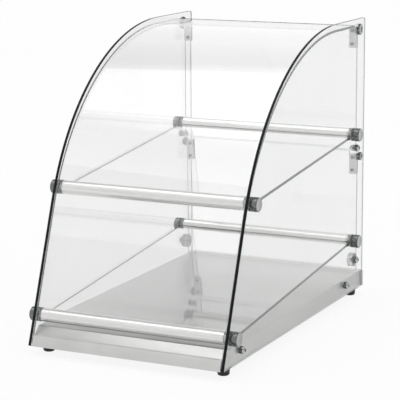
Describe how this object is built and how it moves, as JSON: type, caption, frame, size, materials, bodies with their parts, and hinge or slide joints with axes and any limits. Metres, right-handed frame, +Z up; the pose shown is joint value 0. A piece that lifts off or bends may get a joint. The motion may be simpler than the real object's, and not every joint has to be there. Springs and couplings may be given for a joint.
{
  "type": "buffet display cabinet",
  "caption": "Counter-top glass display cabinet with a curved front, sloping glass shelves on round bars and top-hung rear doors on a stainless base",
  "frame": {"origin": "on the floor under the middle of the cabinet, between the feet", "axes": "+X to the right seen from the customer's side, +Y to the rear doors, +Z up"},
  "size_m": [0.372, 0.6009, 0.5075],
  "materials": {
    "clear_glass": "polished",
    "clear_strip": "gloss",
    "brushed_stainless": "brushed",
    "aluminium_bar": "satin",
    "turned_steel": "turned",
    "hinge_metal": "satin",
    "fastener_steel": "polished",
    "dark_screw": "satin",
    "black_rubber": "matte",
    "clear_nylon": "satin"
  },
  "bodies": {
    "cabinet": {"side_glass_right": "clear_glass", "side_glass_left": "clear_glass", "front_glass": "clear_glass", "shelf_glass_upper": "clear_glass", "shelf_glass_lower": "clear_glass", "pane_edge_seals": "clear_strip", "base_shell": "brushed_stainless", "base_front_channel": "brushed_stainless", "foot_rail_left": "brushed_stainless", "foot_rail_right": "brushed_stainless", "bar_upper_front": "aluminium_bar", "bar_lower_front": "aluminium_bar", "bar_upper_rear": "aluminium_bar", "bar_lower_rear": "aluminium_bar", "knobs_upper_front": "turned_steel", "knobs_lower_front": "turned_steel", "knobs_upper_rear": "turned_steel", "knobs_lower_rear": "turned_steel", "bar_washers": "turned_steel", "upper_pivot_caps": "turned_steel", "lower_pivot_caps": "turned_steel", "base_fixing_screws": "fastener_steel", "base_fixing_nuts": "fastener_steel", "door_stop_screws": "fastener_steel", "foot_screws": "fastener_steel", "foot_nuts": "fastener_steel", "bar_studs": "fastener_steel", "pivot_pins": "fastener_steel", "base_spacers": "fastener_steel", "foot_front_left": "black_rubber", "foot_front_right": "black_rubber", "foot_rear_left": "black_rubber", "foot_rear_right": "black_rubber", "pane_seat_strip": "black_rubber", "upper_door_stops": "clear_nylon", "lower_door_stops": "clear_nylon", "pivot_bushes": "clear_nylon", "bar_inner_gaskets": "clear_nylon", "bar_outer_gaskets": "clear_nylon", "base_fixing_washers": "clear_nylon", "door_stop_washers": "clear_nylon"},
    "upper_door": {"upper_door_glass": "clear_glass", "upper_hinge_bodies": "hinge_metal", "upper_hinge_clamp_plates": "hinge_metal", "upper_hinge_pads": "clear_nylon", "upper_hinge_screws": "dark_screw", "upper_hinge_nuts": "fastener_steel"},
    "lower_door": {"lower_door_glass": "clear_glass", "lower_hinge_bodies": "hinge_metal", "lower_hinge_clamp_plates": "hinge_metal", "lower_hinge_pads": "clear_nylon", "lower_hinge_screws": "dark_screw", "lower_hinge_nuts": "fastener_steel"}
  },
  "joints": [
    {"name": "upper_door_hinge", "type": "hinge", "parent": "cabinet", "child": "upper_door", "pos_m": [0, 0.2648, 0.489], "axis": [1, 0, 0], "range_deg": [0, 90]},
    {"name": "lower_door_hinge", "type": "hinge", "parent": "cabinet", "child": "lower_door", "pos_m": [0, 0.2721, 0.2605], "axis": [1, 0, 0], "range_deg": [0, 90]}
  ]
}
